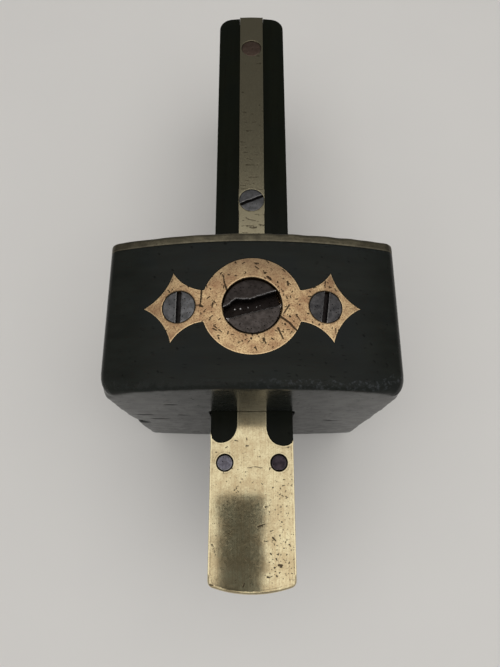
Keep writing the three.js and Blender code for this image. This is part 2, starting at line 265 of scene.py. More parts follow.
def eased(loop, radius):
    """The edge radius at each point of a loop, made small next to its sharp corners."""
    ahead = np.roll(loop, -1, 0) - loop
    length = np.linalg.norm(ahead, axis=1)
    ahead /= length[:, None]
    onward = np.clip((ahead * np.roll(ahead, 1, 0)).sum(1), -1, 1)
    r = np.array(np.broadcast_to(radius, len(loop)), float)
    travel = np.concatenate([[0], np.cumsum(length)])
    around, travel = travel[-1], travel[:-1]
    for i in np.flatnonzero(onward < 0.86):
        half_angle = (PI - math.acos(onward[i])) / 2
        slope = min(0.4, 0.45 * math.tan(half_angle))
        apart = np.abs(travel - travel[i])
        r = np.minimum(r, 0.02 + slope * np.minimum(apart, around - apart))
    return r


def inside(points, loops):
    """Even-odd test of points (n, 2) against closed loops."""
    odd = np.zeros(len(points), bool)
    px, py = points[:, 0], points[:, 1]
    for loop in loops:
        for (x0, y0), (x1, y1) in zip(loop, np.roll(loop, -1, 0)):
            if y0 != y1:
                odd ^= ((y0 > py) != (y1 > py)) & (px < (x1 - x0) * (py - y0) / (y1 - y0) + x0)
    return odd


def nearest(points, rim):
    """Distance from each point to the nearest point of the rim."""
    away = np.full(len(points), 99.0)
    for start in range(0, len(points), 2000):
        part = points[start:start + 2000]
        square_away = ((part[:, None, :] - rim[None, :, :]) ** 2).sum(2)
        away[start:start + 2000] = np.sqrt(square_away.min(1))
    return away


def scatter(loops, cell, seed):
    """Jittered points between the loops. cell is their spacing, or a list of (y from, y to, spacing)."""
    rng = np.random.default_rng(seed)
    rim = np.concatenate(loops)
    (x0, y0), (x1, y1) = rim.min(0), rim.max(0)
    bands = [(y0, y1, cell)] if not isinstance(cell, list) else cell
    found = []
    for low, high, pitch in bands:
        xs = np.arange(x0 + pitch / 2, x1, pitch)
        ys = np.arange(max(low, y0) + pitch / 2, min(high, y1), pitch)
        grid = np.stack(np.meshgrid(xs, ys), -1).reshape(-1, 2)
        grid += rng.uniform(-0.28, 0.28, grid.shape) * pitch
        grid = grid[inside(grid, loops)]
        found.append(grid[nearest(grid, rim) > 0.55 * pitch])
    return np.concatenate(found)


def fill(loops, extra):
    """Triangles between the loops through their points and the extra ones."""
    points = np.concatenate([*loops, extra]).astype(np.float32).astype(float)
    edges, rounded, start = [], [], 0
    for loop in loops:
        n = len(loop)
        edges += [(start + i, start + (i + 1) % n) for i in range(n)]
        rounded.append(points[start:start + n])
        start += n
    made = delaunay_2d_cdt([Vector(p) for p in points], edges, [], 0, 1e-7)
    if not all(made[3]):
        crossed = [tuple(v) for v, origin in zip(made[0], made[3]) if not origin]
        raise ValueError(f"the loops cross at {crossed[:4]}")
    index = [origin[0] for origin in made[3]]
    tris = np.array([[index[c] for c in face] for face in made[2]])
    a, b, c = points[tris[:, 0]], points[tris[:, 1]], points[tris[:, 2]]
    area = (b[:, 0] - a[:, 0]) * (c[:, 1] - a[:, 1]) - (b[:, 1] - a[:, 1]) * (c[:, 0] - a[:, 0])
    tris[area < 0] = tris[area < 0][:, ::-1]
    return tris[inside(points[tris].mean(1), rounded)]


def slab(loops, z0, z1, top_round, foot_round=0.0, cell=1.0, shape=None, dirt_and_shade=None, walls=2, seed=1, steps=4,
         tall=1.0):
    """A plate between z0 and z1 with rounded edges. top_round is a radius, or a list with a radius or an
    array for each loop, and tall makes that rounding deeper than it is wide. shape(points) is added to the
    height of the top, and dirt(points) gives how much its colour is darkened: real dirt, and in places
    painted shade."""
    rounds = top_round if isinstance(top_round, list) else [top_round] * len(loops)
    verts, faces, rims, tops, feet = [], [], [], [], []
    base = 0
    for loop, rounding in zip(loops, rounds):
        n = len(loop)
        r = eased(loop, rounding)
        f = eased(loop, foot_round) if foot_round else np.zeros(n)
        rings = []
        for k in range(steps + 1 if foot_round else 1):
            a = k / steps * PI / 2
            inset = f * (1 - math.sin(a))
            rings.append((offset(loop, inset), z0 + f * (1 - math.cos(a)), inset, 0.0))
        rounded = r.max() > 0
        edge = min(0.5, (z1 - z0) / 4)
        for t in np.linspace(0, 1, walls):
            low, high = z0 + f + edge, z1 - tall * r - edge
            level = low + (high - low) * t
            rings.append((loop, level, np.minimum(level - z0, z1 - level), float(t)))
        for k in range(steps + 1) if rounded else [steps]:
            a = k / steps * PI / 2
            inset = r * (1 - math.cos(a))
            rings.append((offset(loop, inset), z1 - tall * r * (1 - math.sin(a)), inset, 1.0))
        for plan, z, rim, share in rings:
            height = z if shape is None or share == 0 else z + share * shape(plan)
            verts.append(np.column_stack([plan, height]))
            rims.append(rim)
        for k in range(len(rings) - 1):
            for i in range(n):
                j = (i + 1) % n
                low, high = base + k * n, base + (k + 1) * n
                faces.append((low + i, low + j, high + j, high + i))
        feet.append((rings[0][0], base))
        base += n * len(rings)
        tops.append((rings[-1][0], base - n, r))
    for caps, is_top in ((tops, True), (feet, False)):
        cap_loops = [c[0] for c in caps]
        extra = scatter(cap_loops, cell, seed) if is_top else np.zeros((0, 2))
        index = [np.arange(c[1], c[1] + len(c[0])) for c in caps]
        index = np.concatenate([*index, base + np.arange(len(extra))])
        tris = index[fill(cap_loops, extra)]
        faces += [tuple(t) if is_top else tuple(t[::-1]) for t in tris]
        if is_top:
            z = np.full(len(extra), float(z1)) + (shape(extra) if shape else 0)
            verts.append(np.column_stack([extra, z]))
            rims.append(nearest(extra, np.concatenate(cap_loops)) + np.mean([c[2].mean() for c in caps]))
            base += len(extra)
    verts = np.concatenate(verts)
    all_dirt_and_shade = dirt_and_shade(verts[:, :2]) * (verts[:, 2] > z0 + 0.6 * (z1 - z0)) if dirt_and_shade else np.zeros(len(verts))
    return verts, faces, np.concatenate(rims), all_dirt_and_shade


def lathe(profile, steps=48):
    """A turned solid about z. profile holds (radius, z) from the foot to the top, both on the axis."""
    angles = np.linspace(0, 2 * PI, steps, endpoint=False)
    verts, faces, rows = [], [], []
    for radius, z in profile:
        if radius == 0:
            rows.append([len(verts)] * steps)
            verts.append((0, 0, z))
        else:
            rows.append(list(range(len(verts), len(verts) + steps)))
            verts += [(radius * math.cos(a), radius * math.sin(a), z) for a in angles]
    for low, high in zip(rows, rows[1:]):
        for i in range(steps):
            j = (i + 1) % steps
            corner = [low[i], low[j], high[j], high[i]]
            faces.append(tuple(dict.fromkeys(corner)))
    verts = np.array(verts, float)
    return verts, faces, np.full(len(verts), 3.0), np.zeros(len(verts))


def rod(radius, low, high, steps):
    """A plain cylinder about z."""
    return lathe([(0, low), (radius, low), (radius, high), (0, high)], steps)


def placed(part, matrix):
    verts, faces, rim, dirt_and_shade = part
    m = np.array(matrix)
    return verts @ m[:3, :3].T + m[:3, 3], faces, rim, dirt_and_shade


def joined(parts):
    verts, faces, rims, all_dirt_and_shade, base = [], [], [], [], 0
    for v, f, rim, dirt_and_shade in parts:
        verts.append(v)
        faces += [tuple(int(c) + base for c in face) for face in f]
        rims.append(rim)
        all_dirt_and_shade.append(dirt_and_shade)
        base += len(v)
    return np.concatenate(verts), faces, np.concatenate(rims), np.concatenate(all_dirt_and_shade)


NEAR = Matrix(((1, 0, 0, 0), (0, 0, -1, 0), (0, 1, 0, 0), (0, 0, 0, 1)))  # a slab's top turned to face -y
FAR = Matrix(((1, 0, 0, 0), (0, 0, 1, 0), (0, -1, 0, 0), (0, 0, 0, 1)))  # and to face +y


def at(x, y, z):
    return Matrix.Translation((x, y, z))


def mesh_object(name, part):
    verts, faces, rim, dirt_and_shade = part
    mesh = bpy.data.meshes.new(name)
    mesh.from_pydata((verts * MM).tolist(), [], [tuple(int(c) for c in f) for f in faces])
    for attribute, values in (("rim", rim), ("dirt_and_shade", dirt_and_shade)):
        layer = mesh.attributes.new(attribute, "FLOAT", "POINT")
        layer.data.foreach_set("value", np.asarray(values, np.float32))
    mesh.validate()
    made = bpy.data.objects.new(name, mesh)
    bpy.context.scene.collection.objects.link(made)
    return made


def carve(target, part):
    """Cuts a closed part out of an object for good."""
    cutter = mesh_object("cutter", part)
    modifier = target.modifiers.new("cut", "BOOLEAN")
    modifier.operation = "DIFFERENCE"
    modifier.solver = "EXACT"
    modifier.object = cutter
    graph = bpy.context.evaluated_depsgraph_get()
    mesh = bpy.data.meshes.new_from_object(target.evaluated_get(graph))
    target.modifiers.clear()
    target.data = mesh
    bpy.data.objects.remove(cutter)


def show(made, material, body, node, sharp=35):
    """Gives a piece its finish and lets it stand for a CAD node."""
    mesh = made.data
    mesh.materials.clear()
    mesh.materials.append(material)
    mesh.shade_smooth()
    mesh.set_sharp_from_angle(angle=math.radians(sharp))
    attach(made, body)
    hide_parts(node)
    return made


# ---- Materials ----
def node(tree, kind, inputs=None, **settings):
    made = tree.nodes.new(kind)
    for key, value in settings.items():
        setattr(made, key, value)
    for key, value in (inputs or {}).items():
        if isinstance(value, bpy.types.NodeSocket):
            tree.links.new(value, made.inputs[key])
        else:
            made.inputs[key].default_value = value
    return made


def maths(tree, operation, a, b=0.0, clamp=False):
    made = node(tree, "ShaderNodeMath", {0: a, 1: b}, operation=operation, use_clamp=clamp)
    return made.outputs[0]


def ramp(tree, value, low, high, to_low=0.0, to_high=1.0):
    """value between low and high, spread over to_low to to_high with soft ends."""
    made = node(tree, "ShaderNodeMapRange", {
        "Value": value, "From Min": low, "From Max": high, "To Min": to_low, "To Max": to_high,
    }, interpolation_type="SMOOTHSTEP")
    return made.outputs["Result"]


def mix(tree, share, a, b):
    made = node(tree, "ShaderNodeMix", data_type="RGBA")
    for socket, value in ((made.inputs["Factor"], share), (made.inputs[6], a), (made.inputs[7], b)):
        if isinstance(value, bpy.types.NodeSocket):
            tree.links.new(value, socket)
        elif isinstance(value, tuple):
            socket.default_value = (*value, 1)
        else:
            socket.default_value = value
    return made.outputs[2]


class Finish:
    """A material under way: its object coordinates in millimetres, and helpers that read them."""

    def __init__(self, name):
        self.material = bpy.data.materials.new(name)
        self.material.use_nodes = True
        self.tree = self.material.node_tree
        self.tree.nodes.clear()
        place = node(self.tree, "ShaderNodeTexCoord").outputs["Object"]
        scaled = node(self.tree, "ShaderNodeMapping", {"Vector": place, "Scale": (1000, 1000, 1000)})
        self.place = scaled.outputs[0]

    def at(self, scale, turn=0.0, shift=(0, 0, 0)):
        turned = node(self.tree, "ShaderNodeMapping", {
            "Vector": self.place, "Rotation": (0, 0, turn), "Location": shift,
        }).outputs[0]
        return node(self.tree, "ShaderNodeMapping", {"Vector": turned, "Scale": scale}).outputs[0]

    def noise(self, scale, turn=0.0, shift=(0, 0, 0), detail=3.0, rough=0.55):
        made = node(self.tree, "ShaderNodeTexNoise", {
            "Vector": self.at(scale, turn, shift), "Scale": 1.0, "Detail": detail, "Roughness": rough,
        })
        return made.outputs["Fac"]

    def marks(self, scale, size, share, turn=0.0, shift=(0, 0, 0)):
        """Scattered spots, long where scale is small: 1 inside them. share is how many cells have one."""
        place = self.at(scale, turn, shift)
        cells = node(self.tree, "ShaderNodeTexVoronoi", {"Vector": place, "Scale": 1.0})
        spot = ramp(self.tree, cells.outputs["Distance"], size, size * 0.5)
        red = node(self.tree, "ShaderNodeSeparateColor", {"Color": cells.outputs["Color"]}).outputs[0]
        return self.times(spot, maths(self.tree, "LESS_THAN", red, share))

    def attribute(self, name):
        return node(self.tree, "ShaderNodeAttribute", attribute_name=name).outputs["Fac"]

    def along(self, axis):
        return node(self.tree, "ShaderNodeSeparateXYZ", {"Vector": self.place}).outputs[axis]

    def plus(self, *values):
        total = values[0]
        for value in values[1:]:
            total = maths(self.tree, "ADD", total, value)
        return total

    def times(self, a, b):
        return maths(self.tree, "MULTIPLY", a, b)

    def most(self, *values):
        total = values[0]
        for value in values[1:]:
            total = maths(self.tree, "MAXIMUM", total, value)
        return total

    def done(self, color, rough, heights, metal=0.0, level=0.5):
        """heights is a list of (height socket, depth in mm)."""
        normal = None
        for height, deep in heights:
            inputs = {"Height": height, "Strength": 1.0, "Distance": deep * MM}
            if normal is not None:
                inputs["Normal"] = normal
            normal = node(self.tree, "ShaderNodeBump", inputs).outputs[0]
        shader = node(self.tree, "ShaderNodeBsdfPrincipled", {
            "Base Color": color, "Roughness": rough, "Metallic": metal, "Normal": normal,
            "Specular IOR Level": level,
        })
        out = node(self.tree, "ShaderNodeOutputMaterial")
        self.tree.links.new(shader.outputs[0], out.inputs[0])
        return self.material


def times_color(color, *share):
    """The color with its channels multiplied, all by one share or each by its own."""
    return tuple(k * c for k, c in zip(share * 3 if len(share) == 1 else share, color))


def ebony(name, grain, base, scuffs_and_highlight, level):
    """Oiled ebony of the color base. grain is 0 for grain along x, 1 for grain along y. The fourth argument
    is how pale its arrises are: worn, and towards +x also a painted highlight."""
    f = Finish(name)
    t = f.tree

    def long(fine, length):
        return (1 / length, fine, fine) if grain == 0 else (fine, 1 / length, fine)

    bands = f.noise(long(0.35, 60), detail=2)
    lines = f.noise(long(3.2, 14), shift=(3, 7, 1), detail=4, rough=0.65)
    pores = f.marks(long(2.4, 2.2), 0.3, 0.16, shift=(11, 5, 9))
    blotches = f.noise((0.09, 0.09, 0.09), shift=(5, 1, 8), detail=2)
    smears = f.noise((0.35, 0.35, 0.35), turn=0.5, detail=3, rough=0.5)
    nicks = f.marks((0.42, 0.9, 0.9), 0.2, 0.3, turn=0.7)
    scratches = f.marks((0.13, 3.2, 1.0), 0.16, 0.35, turn=1.1, shift=(2, 2, 2))
    rim, dirt_and_shade = f.attribute("rim"), f.attribute("dirt_and_shade")
    chafed = f.noise((1.3, 1.3, 1.3), shift=(6, 2, 3), detail=5, rough=0.7)
    worn = f.times(ramp(t, rim, 1.2, 0.1), ramp(t, chafed, 0.48, 0.66))
    worn = f.times(worn, ramp(t, f.along("Y"), -36, -39, 0.25, 1.0))
    # The pale arris colour is made stronger towards +x: partly wear, partly a painted highlight.
    right = ramp(t, f.along("X"), -2, 9, 0.12, 1.0)
    color = mix(t, ramp(t, bands, 0.3, 0.7), base, times_color(base, 1.35))
    color = mix(t, ramp(t, lines, 0.5, 0.75), color, times_color(base, 1.25, 0.95, 0.9))
    color = mix(t, f.times(ramp(t, blotches, 0.45, 0.7), 0.5), color, times_color(base, 1.0, 1.1, 1.35))
    color = mix(t, f.times(worn, f.times(right, scuffs_and_highlight)), color, (0.05, 0.054, 0.058))
    color = mix(t, f.times(pores, 0.6), color, (0.001, 0.001, 0.001))
    # Nicks and the dirt values darken the colour; beside the stock's chip that is painted shadow.
    color = mix(t, f.times(f.most(nicks, dirt_and_shade), 0.6), color, (0.0015, 0.0013, 0.001))
    rough = f.plus(ramp(t, smears, 0.3, 0.75, 0.19, 0.27), f.times(f.most(pores, nicks), 0.15),
                   f.times(worn, 0.12), f.times(dirt_and_shade, 0.45))
    heights = [(lines, 0.004), (pores, -0.012), (nicks, -0.03), (scratches, -0.006)]
    return f.done(color, rough, heights, level=level)


def brass(name, bright, dull, brown, tarnish, rough, streak, pits, rim_light=0.8, line_dark=0.15, depth=0.3,
          crisp=(0, 1), far=None):
    """Bare brass. tarnish is how much of it is dull, pits how thickly it is pitted. streak is the way of its
    fine scratches: 1 along y, 0 along x, 2 no way. rim_light is how much lighter its edges are: worn, and
    partly a painted highlight. line_dark is how dark the line just inside them is, and depth how deep its
    marks
    are. crisp is (from dirt, to dirt): the marks go from none to full between them. far is (from y, to y,
    share, color): beyond that y it turns darker and rougher, towards that color; on the ring this is painted
    shade."""
    f = Finish(name)
    t = f.tree
    fine = {0: (0.12, 7, 7), 1: (7, 0.1, 7), 2: (2.6, 4.4, 2.6)}[streak]
    hair = f.noise(fine, detail=4, rough=0.6)
    patches = f.noise((0.33, 0.33, 0.33), shift=(4, 9, 2), detail=5, rough=0.62)
    grime = f.noise((1.5, 1.5, 1.5), shift=(1, 3, 6), detail=4, rough=0.6)
    speckle = f.noise((3.4, 3.4, 3.4), shift=(6, 6, 2), detail=3, rough=0.6)
    dots = f.marks((1.5, 1.5, 1.5), 0.16, pits * 0.5, shift=(7, 3, 1))
    small = f.marks((4.2, 4.2, 4.2), 0.25, pits * 0.7, shift=(1, 8, 1))
    dash_a = f.marks((1.2, 5.6, 1.6), 0.22, pits * 0.6, turn=0.35, shift=(5, 5, 5))
    dash_b = f.marks((1.0, 6.2, 1.6), 0.22, pits * 0.55, turn=-0.75, shift=(9, 2, 4))
    dash_c = f.marks((0.9, 6.6, 1.6), 0.2, pits * 0.45, turn=1.45, shift=(3, 1, 7))
    rim, dirt_and_shade = f.attribute("rim"), f.attribute("dirt_and_shade")
    edge = f.times(ramp(t, rim, 0.3, 0.1), ramp(t, grime, 0.25, 0.5))
    from_line = maths(t, "ABSOLUTE", maths(t, "SUBTRACT", rim, 0.48))
    seam = f.times(ramp(t, from_line, 0.17, 0.02), ramp(t, patches, 0.42, 0.58))
    spots = 0.55 if streak == 2 else 0.3
    dark = f.most(dots, small, dash_a, dash_b, dash_c)
    aged = f.times(ramp(t, f.plus(patches, f.times(grime, 0.35)), 0.5, 0.9), tarnish)
    worn_and_highlight_edge_color = tuple(min(1, 1.25 * c + 0.05) for c in bright)
    color = mix(t, ramp(t, patches, 0.3, 0.7), bright, dull)
    color = mix(t, aged, color, brown)
    color = mix(t, f.times(ramp(t, hair, 0.44, 0.66), 0.42), color, brown)
    color = mix(t, f.times(ramp(t, speckle, 0.46, 0.64), spots), color, times_color(brown, 0.75))
    # Lighter edges: partly worn brass, partly a painted highlight on the rounded arrises.
    color = mix(t, f.times(edge, rim_light), color, worn_and_highlight_edge_color)
    color = mix(t, f.times(seam, line_dark), color, (0.06, 0.045, 0.025))
    roughness = f.plus(ramp(t, grime, 0.3, 0.7, rough - 0.02, rough + 0.03),
                       f.times(f.times(dark, dark), rough), f.times(aged, 0.2 * rough))
    if far:
        beyond = ramp(t, f.along("Y"), far[0], far[1], 0, far[2])
        color = mix(t, beyond, color, far[3])
        dark = f.times(dark, maths(t, "SUBTRACT", 1.0, f.times(beyond, 0.75)))
        roughness = f.plus(roughness, f.times(beyond, 0.14))
    # From here the dirt values darken the colour: real dirt in the marks, painted shade in screw slots.
    dirt_and_shade = ramp(t, dirt_and_shade, *crisp)
    dark = f.most(dark, dirt_and_shade)
    roughness = f.plus(roughness, f.times(dirt_and_shade, 0.1))
    color = mix(t, f.times(dark, 0.92), color, (0.03, 0.02, 0.012))
    heights = [(hair, 0.01 * depth), (dark, -0.04 * depth), (patches, 0.02 * depth)]
    return f.done(color, roughness, heights, metal=1.0)


def steel(name, light, deep, rust, rough, streak=0.0, rim_color=(0.3, 0.29, 0.28), rim_width=0.3):
    """Old steel, browned in patches, its edges worn bright towards rim_color; on the clamp screw that bright
    rim is partly a painted highlight. streak is the angle of its fine scratches.
    """
    f = Finish(name)
    t = f.tree
    brushed = f.noise((9, 0.5, 3), turn=streak, detail=3)
    patches = f.noise((0.8, 0.8, 0.8), shift=(2, 6, 4), detail=5, rough=0.65)
    speckle = f.noise((4.5, 4.5, 4.5), shift=(7, 1, 3), detail=4, rough=0.6)
    pits = f.marks((1.9, 1.9, 1.9), 0.25, 0.5, shift=(3, 3, 9))
    cuts = f.marks((0.7, 6, 1.5), 0.22, 0.4, turn=0.5)
    rim, dirt_and_shade = f.attribute("rim"), f.attribute("dirt_and_shade")
    edge = f.times(ramp(t, rim, rim_width, 0.05), ramp(t, speckle, 0.35, 0.6))
    color = mix(t, ramp(t, patches, 0.35, 0.65), light, deep)
    color = mix(t, f.times(ramp(t, speckle, 0.5, 0.75), 0.6), color, rust)
    color = mix(t, f.times(ramp(t, brushed, 0.5, 0.8), 0.35), color, times_color(light, 1.5))
    color = mix(t, f.times(edge, 0.75), color, rim_color)
    # Pits and the dirt values darken the colour; in the screw slots that is painted shade.
    color = mix(t, f.times(f.most(pits, dirt_and_shade), 0.9), color, (0.008, 0.006, 0.0055))
    roughness = f.plus(ramp(t, patches, 0.3, 0.7, rough - 0.05, rough + 0.1), f.times(pits, 0.25))
    heights = [(brushed, 0.01), (speckle, 0.025), (pits, -0.06), (cuts, -0.02)]
    return f.done(color, roughness, heights, metal=1.0)


stock_ebony = ebony("stock_ebony", 0, (0.0106, 0.0118, 0.0099), 0.7, 0.073)
stem_ebony = ebony("stem_ebony", 1, (0.0049, 0.0057, 0.0035), 0.1, 0.05)
# The far setting below darkens and dulls the ring towards +y: painted shade.
ring_brass = brass(
    "ring_brass", (0.6, 0.44, 0.24), (0.45, 0.31, 0.17), (0.27, 0.14, 0.075), tarnish=0.6, rough=0.3,
    streak=2, pits=0.62, rim_light=0.6, crisp=(0.15, 0.65), far=(-22, -14, 0.62, (0.17, 0.115, 0.072)))
strap_brass = brass(
    "strap_brass", (0.56, 0.49, 0.31), (0.47, 0.39, 0.24), (0.32, 0.23, 0.12), tarnish=0.35, rough=0.09,
    streak=1, pits=0.16, line_dark=0.4, depth=0.02, crisp=(0.25, 0.8),
    far=(-47, -39, 0.9, (0.262, 0.234, 0.158)))
aged_brass = brass(
    "aged_brass", (0.155, 0.137, 0.092), (0.105, 0.092, 0.063), (0.068, 0.06, 0.042), tarnish=0.85,
    rough=0.36, streak=0, pits=0.3, rim_light=0.12)
slide_brass = brass(
    "slide_brass", (0.34, 0.29, 0.17), (0.26, 0.21, 0.13), (0.14, 0.1, 0.06), tarnish=0.6, rough=0.32,
    streak=1, pits=0.2, rim_light=0.5)
# The clamp screw's very light rim_color brightens its slot edges: partly wear, partly a painted highlight.
clamp_steel = steel(
    "clamp_steel", (0.07, 0.06, 0.056), (0.042, 0.036, 0.033), (0.065, 0.045, 0.034), rough=0.38, streak=1.3,
    rim_color=(0.7, 0.68, 0.67))
pin_steel = steel(
    "pin_steel", (0.13, 0.125, 0.15), (0.075, 0.07, 0.085), (0.09, 0.07, 0.06), rough=0.3, streak=0.4)
dark_pin_steel = steel(
    "dark_pin_steel", (0.045, 0.035, 0.042), (0.022, 0.018, 0.022), (0.05, 0.035, 0.03), rough=0.34,
    streak=0.9, rim_color=(0.08, 0.07, 0.07))
point_steel = steel(
    "point_steel", (0.12, 0.085, 0.066), (0.085, 0.058, 0.045), (0.1, 0.06, 0.04), rough=0.45, streak=0.2,
    rim_color=(0.1, 0.08, 0.065))
screw_steel = steel(
    "screw_steel", (0.13, 0.13, 0.135), (0.08, 0.08, 0.082), (0.1, 0.08, 0.065), rough=0.36, rim_width=0.2)
dull_screw_steel = steel(
    "dull_screw_steel", (0.08, 0.077, 0.078), (0.045, 0.044, 0.046), (0.06, 0.05, 0.042), rough=0.38,
    streak=0.6, rim_width=0.2)


# ---- Slotted heads: two lands over a slot floor ----
def slotted(radius, slot, deep, below, rounding, seed, ragged=0.02, cell=0.25, nick=0.0, widen=0.0,
            far_dirt=0.1):
    """A head with its top at z = 0. below holds the rest of the lathe profile, from the foot up to the floor.
    The far land's edge has a worn nick, and the slot is wider by widen at its right end. far_dirt is the dirt
    of the far land."""
    parts = []
    h = slot / 2
    end_x = math.sqrt(radius**2 - h**2)
    start = math.asin((h + widen) / radius)
    end = math.asin(h / radius)
    for side in (1, -1):
        far = side > 0
        bow = arc(0, 0, radius, start, PI - end, 40) if far else arc(0, 0, radius, PI + end, 2 * PI - end, 40)
        chord = line(bow[-1], bow[0], 44)[1:]
        s = chord[:, 0] / end_x
        bite = ragged * wave(len(chord) * 2, seed + (0 if far else 7), 3, 24)[: len(chord)]
        if far:
            bite = bite - nick * np.exp(-(((s + 0.5) / 0.3) ** 2))
        bite = bite * (1 - np.abs(s) ** 6)
        chord[:, 1] -= side * np.clip(bite, -slot, 0.25 * slot)

        def shape(p, lean=side):
            r = np.linalg.norm(p, axis=1) / radius
            dip = 0.06 * rounding * (p[:, 1] * lean < h * 1.5)
            return -0.05 * r**2 + 0.018 * lumps(p, radius * 0.8, seed + 3) - dip

        verts, faces, rim, _ = slab([np.concatenate([bow, chord])], -deep - 0.1, 0, rounding, cell=cell,
                                    shape=shape, seed=seed, steps=3)
        # Down the slot walls the colour darkens with depth: painted shade, kept with the dirt values.
        sunk = np.clip(-0.5 - verts[:, 2], 0, 0.8) / 0.8
        outer = (np.hypot(verts[:, 0], verts[:, 1]) > radius - 0.4) & (np.abs(verts[:, 1]) > h + 0.35 + widen)
        rim = np.where(outer, 3.0, rim)
        dirt_and_shade = np.maximum(sunk * (0.7 if far else 1), far_dirt * far)
        parts.append((verts, faces, rim, dirt_and_shade))
    verts, faces, rim, _ = lathe([*below, (radius - 0.03, -deep), (0, -deep)])
    # The slot floor is darkened in full: painted shade at the bottom of the slot.
    parts.append((verts, faces, rim, np.where(verts[:, 2] > -deep - 0.01, 1.0, 0.0)))
    return joined(parts)


def head(seed, turn_degrees, matrix, radius=3.33, slot=0.95, deep=0.85, length=4.0, **options):
    """A countersunk wood screw's slotted head on a short shank."""
    below = [(0, -length), (1.7, -length), (1.7, -deep - 1.9), (radius, -deep - 0.25)]
    made = slotted(radius, slot, deep, below, 0.12, seed, **options)
    return placed(made, matrix @ Matrix.Rotation(math.radians(turn_degrees), 4, "Z"))


# ---- Stock. Marks are (x0, y0, x1, y1, width, depth), on its near face from the stem's axis ----
FACE_MARKS = [
    (-17.8, 18, -16.9, 18, 0.6, 0.12), (-26.5, 4.9, -21.5, 4.3, 0.4, 0.1),
    (-24.5, -1.8, -20.8, -1.9, 0.45, 0.1), (-17.1, 3.5, -15.8, 3.4, 0.5, 0.1),
    # The wide mark at (-28.4, -7.2), beside the chip, is a shallow groove whose dark colour is painted shadow
    # of the chip.
    (-28.4, -7.2, -27.5, -7.9, 1.0, 0.2), (19, -4.6, 21.5, -4.7, 0.5, 0.1),
]
CHIP_Y = -5.6  # the chip in the near face's left edge, from the stem's axis
WORN_CORNER_Y = 30.0  # and its two worn upper corners
BED_FLOOR = 65.9  # under the escutcheon
PLATE_FOOT = 66.0  # the escutcheon's underside
ABOVE = 75  # clear of the whole gauge
BOSS = 8  # radius


def build_stock():
    outline = stock_outline(0.8)
    n = len(outline)
    wear = 1.1 + 0.12 * wave(n, 5, 3, 40) + 0.12 * wave(n, 15, 30, 90)
    for side in (-1, 1):
        corner = np.linalg.norm(outline - [side * stock_half, WORN_CORNER_Y], axis=1)
        wear += 1.8 * np.exp(-((corner / 5) ** 2))
    chip = outline - [-stock_half, CHIP_Y]
    wear += 1.9 * np.exp(-((chip[:, 0] / 2) ** 2) - (chip[:, 1] / 1.9) ** 2)
    wear = np.clip(wear, 0.6, 2.85)
    mortise = square(MORTISE_X, MORTISE_Z, 0.8)

    def shape(p):
        return 0.035 * lumps(p, 14, 4) - 0.035 - grooves(p, FACE_MARKS)[0]

    def dirt_and_shade(p):
        return grooves(p, FACE_MARKS)[1] * 0.8

    depth = plate_low.y - GAP / 2 - stock_low.y
    part = slab([outline, mortise], -depth, -INSIDE, [wear, 0.45], 0.15, cell=1.1, shape=shape, dirt_and_shade=dirt_and_shade,
                walls=26, seed=3, steps=6, tall=1.5)
    stock = mesh_object("stock", placed(part, at(0, stock_low.y, axis_z) @ NEAR))
    pocket = square(shoe_high.x + 0.12, (shoe_high.y - shoe_low.y) / 2 + 0.12, 4)[::-1]
    for cutter in (slab([escutcheon_plan(GAP)], BED_FLOOR, ABOVE, 0.0, cell=3.0),
                   rod(BOSS + 0.12, axis_z, 68, 64),
                   slab([pocket], axis_z, shoe_high.z + 2.4, 0.0, cell=5.0)):
        carve(stock, placed(cutter, at(0, clamp_y, 0)))
    show(stock, stock_ebony, "stock", "stock_block", 40)


def build_plate():
    outline = stock_outline(0.9)
    low, high = box("face_screw_upper_right")
    screw_x = round((low.x + high.x) / 2, 3)
    screw_z = round((low.z + high.z) / 2 - axis_z, 3)
    holes = []
    for x in (-screw_x, screw_x):
        for z in (-screw_z, screw_z):
            holes.append(circle(x, -z, 2.32, 40)[::-1])
    wear = np.clip(0.3 + 0.12 * wave(len(outline), 8, 4, 50), 0.12, 0.7)
    mortise = square(MORTISE_X, MORTISE_Z, 0.9)
    rng = np.random.default_rng(12)
    xs, ys = rng.uniform(-27, 27, 46), rng.uniform(-31, 31, 46)
    dxs, dys = rng.normal(0, 3.5, 46), rng.normal(0, 1.6, 46)
    scratches = [(x, y, x + dx, y + dy, 0.18, 0.04) for x, y, dx, dy in zip(xs, ys, dxs, dys)]

    def shape(p):
        return 0.02 * lumps(p, 11, 6) - 0.02 - grooves(p, scratches)[0]

    def dirt_and_shade(p):
        return 0.6 * grooves(p, scratches)[1]

    thick = plate_high.y - plate_low.y
    part = slab([outline, mortise, *holes], -thick, -INSIDE, [wear, 0.2] + [0.1] * 4, 0.1, cell=0.8,
                shape=shape, dirt_and_shade=dirt_and_shade, walls=3, seed=4, steps=3)
    plate = mesh_object("working_plate", placed(part, at(0, plate_high.y, axis_z) @ FAR))
    show(plate, aged_brass, "stock", "face_plate")
    for level, z, turns in (("upper", screw_z, (38, -52)), ("lower", -screw_z, (-12, 71))):
        for hand, x, turn in zip(("left", "right"), (-screw_x, screw_x), turns):
            name = f"face_screw_{level}_{hand}"
            place = at(x, plate_high.y - INSIDE - 0.02, axis_z + z) @ FAR
            screw = head(abs(turn), turn, place, 2.26, 0.65, 0.5, 6.0, cell=0.3)
            show(mesh_object(name + "_piece", screw), aged_brass, "stock", name)


